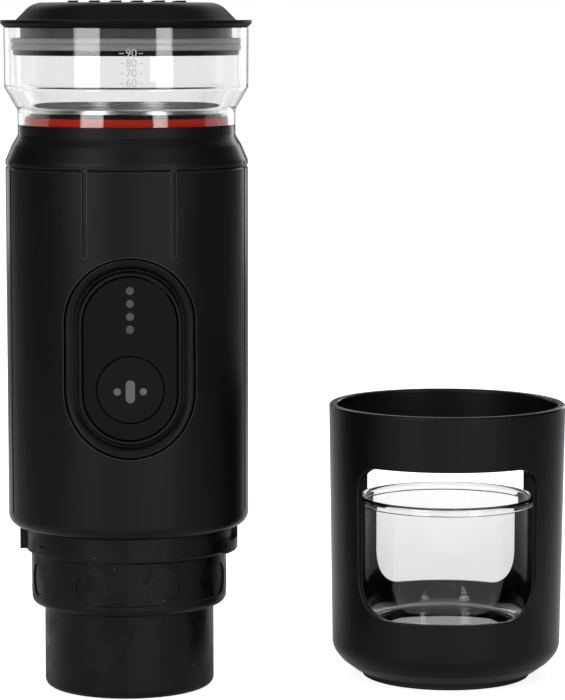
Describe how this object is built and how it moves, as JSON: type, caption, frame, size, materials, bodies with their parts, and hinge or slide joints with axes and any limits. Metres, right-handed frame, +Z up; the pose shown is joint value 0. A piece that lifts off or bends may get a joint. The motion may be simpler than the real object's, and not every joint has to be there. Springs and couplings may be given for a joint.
{
  "type": "handheld espresso maker",
  "caption": "Cylindrical battery espresso maker with a clear water tank, push-button panel and brew outlet, and a separate windowed cup holder with a clear cup.",
  "frame": {"origin": "centre of the outlet's rim, on the surface that the maker stands on", "axes": "+Z up along the maker's axis; -Y is the front, with the control panel; the cup holder stands at +X"},
  "size_m": [0.17, 0.0791, 0.2049],
  "materials": {
    "black_plastic": "satin black moulded ABS",
    "black_gloss_plastic": "semi-gloss black moulded nylon",
    "panel_plastic": "fine satin black",
    "button_plastic": "satin black",
    "lid_plastic": "satin black",
    "inner_plastic": "moulded",
    "light_plastic": "frosted grey",
    "gear_plastic": "natural acetal",
    "clear_plastic": "clear copolyester",
    "basket_steel": "brushed stainless steel",
    "motor_steel": "zinc plated",
    "motor_magnet": "sintered ferrite",
    "strip_nickel": "nickel",
    "heater_aluminium": "die cast",
    "board_laminate": "green solder mask",
    "cell_wrap": "blue shrink wrap",
    "tube_silicone": "natural silicone",
    "grey_silicone": "grey silicone",
    "orange_silicone": "orange red silicone",
    "cover_rubber": "black silicone"
  },
  "bodies": {
    "brew_unit": {"outlet_cup": "black_gloss_plastic", "grip_ring": "black_gloss_plastic", "filter_basket": "basket_steel"},
    "seal": {"brew_seal": "grey_silicone"},
    "main": {"brew_head": "black_gloss_plastic", "shower_screen": "basket_steel", "shower_screw": "basket_steel", "pressure_tube": "tube_silicone", "housing_shell": "black_plastic", "shoulder_collar": "black_plastic", "bezel_ring": "black_plastic", "panel_face": "panel_plastic", "light_windows": "light_plastic", "button_dome": "grey_silicone", "control_board": "board_laminate", "light_chips": "light_plastic", "tact_switch": "inner_plastic", "pump_frame": "inner_plastic", "frame_screws": "basket_steel", "motor_can": "motor_steel", "motor_magnets": "motor_magnet", "pump_body": "inner_plastic", "plunger_seal": "grey_silicone", "suction_tube": "tube_silicone", "chassis": "inner_plastic", "chassis_screws": "basket_steel", "battery_cells": "cell_wrap", "cell_strips": "strip_nickel", "charge_board": "board_laminate", "charge_socket": "basket_steel", "boiler_cup": "basket_steel", "heater_plate": "heater_aluminium", "heating_element": "basket_steel", "thermostat": "inner_plastic", "insulation_ring": "inner_plastic"},
    "button": {"brew_button": "button_plastic", "button_icon": "light_plastic"},
    "rotor": {"motor_rotor": "motor_steel"},
    "crank": {"crank_gear": "gear_plastic", "gear_clip": "basket_steel"},
    "plunger": {"pump_plunger": "basket_steel"},
    "charge_cover": {"charge_cover": "cover_rubber"},
    "gasket": {"tank_gasket": "orange_silicone"},
    "tank": {"water_tank": "clear_plastic"},
    "lid": {"lid": "lid_plastic", "lid_plug": "lid_plastic", "lid_seal": "grey_silicone"},
    "cup_holder": {"cup_holder": "black_plastic", "holder_foot": "cover_rubber"},
    "cup": {"cup": "clear_plastic"}
  },
  "joints": [
    {"name": "head_lift", "type": "slide", "parent": "brew_unit", "child": "seal", "axis": [0, 0, 1], "range_m": [0, 0.006]},
    {"name": "head_turn", "type": "hinge", "parent": "seal", "child": "main", "pos_m": [0, 0, 0.04], "axis": [0, 0, 1], "range_deg": [0, 720]},
    {"name": "button_press", "type": "slide", "parent": "main", "child": "button", "axis": [0, 1, 0], "range_m": [0, 0.0008], "stiffness_N_per_m": 1500, "springref_m": -0.0004, "deforming": ["button_dome"]},
    {"name": "crank_spin", "type": "hinge", "parent": "main", "child": "crank", "pos_m": [0.009, 0, 0.07], "axis": [0, 0, 1], "continuous": true},
    {"name": "motor_spin", "type": "hinge", "parent": "main", "child": "rotor", "pos_m": [0.009, 0.0175, 0.07], "axis": [0, 0, 1], "continuous": true},
    {"name": "plunger_slide", "type": "slide", "parent": "main", "child": "plunger", "axis": [1, 0, 0], "range_m": [-0.0025, 0.0025]},
    {"name": "cover_swing", "type": "hinge", "parent": "main", "child": "charge_cover", "pos_m": [0, 0.0362, 0.1], "axis": [-1, 0, 0], "range_deg": [0, 120]},
    {"name": "tank_lift", "type": "slide", "parent": "main", "child": "gasket", "axis": [0, 0, 1], "range_m": [0, 0.006]},
    {"name": "tank_turn", "type": "hinge", "parent": "gasket", "child": "tank", "pos_m": [0, 0, 0.18], "axis": [0, 0, 1], "range_deg": [0, 360]},
    {"name": "lid_lift", "type": "slide", "parent": "tank", "child": "lid", "axis": [0, 0, 1], "range_m": [0, 0.02]},
    {"name": "holder_lift", "type": "slide", "parent": "brew_unit", "child": "cup_holder", "axis": [0, 0, 1], "range_m": [0, 0.03]},
    {"name": "cup_lift", "type": "slide", "parent": "cup_holder", "child": "cup", "axis": [0, 0, 1], "range_m": [0, 0.08]}
  ],
  "couplings": [
    {"joint": "head_lift", "follows": "head_turn", "m_per_rad": 0.00047746},
    {"joint": "tank_lift", "follows": "tank_turn", "m_per_rad": 0.00095493},
    {"joint": "motor_spin", "follows": "crank_spin", "ratio": -4}
  ]
}
